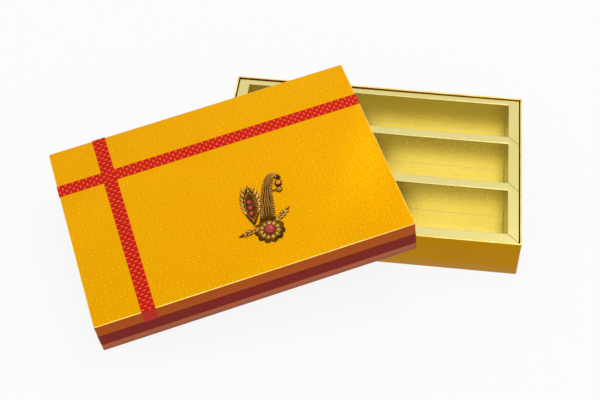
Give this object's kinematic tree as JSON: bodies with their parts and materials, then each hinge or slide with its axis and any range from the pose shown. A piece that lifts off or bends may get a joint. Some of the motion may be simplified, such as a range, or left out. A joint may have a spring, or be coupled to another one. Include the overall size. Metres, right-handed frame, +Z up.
{
  "type": "sweet box",
  "caption": "Flat set-up box for sweets: gold foil over board, a lift-off lid with red foil ribbons and a bird ornament, and a folded gold card insert with rows.",
  "frame": {"origin": "centre of the tray's underside, on the surface that the box stands on", "axes": "+Z up; +X along the tray's length to its right end; +Y from the tray's front wall to its back wall. At rest the lid lies askew over the tray's left and front rims, as pictured"},
  "size_m": [0.3926, 0.2942, 0.0857],
  "materials": {
    "grey_board": "matt, fibrous",
    "kraft_tape": "matt",
    "lining_paper": "matt",
    "base_paper": "matt",
    "lid_foil": "embossed satin metallic foil",
    "tray_foil": "smooth satin metallic foil",
    "gold_card": "brushed-looking satin metallic foil on card",
    "red_band": "satin metallic foil",
    "red_ribbon": "metallic foil with a basket weave emboss",
    "antique_brass": "antiqued, dark in the recesses",
    "red_stone": "clear gloss",
    "amber": "clear gloss"
  },
  "bodies": {
    "tray": {"tray_base_sheet": "base_paper", "tray_base_board": "grey_board", "tray_front_board": "grey_board", "tray_back_board": "grey_board", "tray_left_board": "grey_board", "tray_right_board": "grey_board", "tray_corner_tapes": "kraft_tape", "tray_wrap": "tray_foil", "tray_lining": "lining_paper"},
    "insert": {"insert_card": "gold_card"},
    "lid": {"lid_top_board": "grey_board", "lid_front_board": "grey_board", "lid_back_board": "grey_board", "lid_left_board": "grey_board", "lid_right_board": "grey_board", "lid_corner_tapes": "kraft_tape", "lid_wrap": "lid_foil", "lid_lining": "lining_paper", "lid_side_band": "red_band", "lid_long_ribbon": "red_ribbon", "lid_short_ribbon": "red_ribbon", "lid_ornament": "antique_brass", "lid_stones": "red_stone", "lid_bead": "amber"}
  },
  "joints": [
    {"name": "insert_lift", "type": "slide", "parent": "tray", "child": "insert", "axis": [0, 0, 1], "range_m": [0, 0.06]},
    {"name": "lid_lift", "type": "slide", "parent": "insert", "child": "lid", "axis": [0, 0, 1], "range_m": [0, 0.12]}
  ]
}
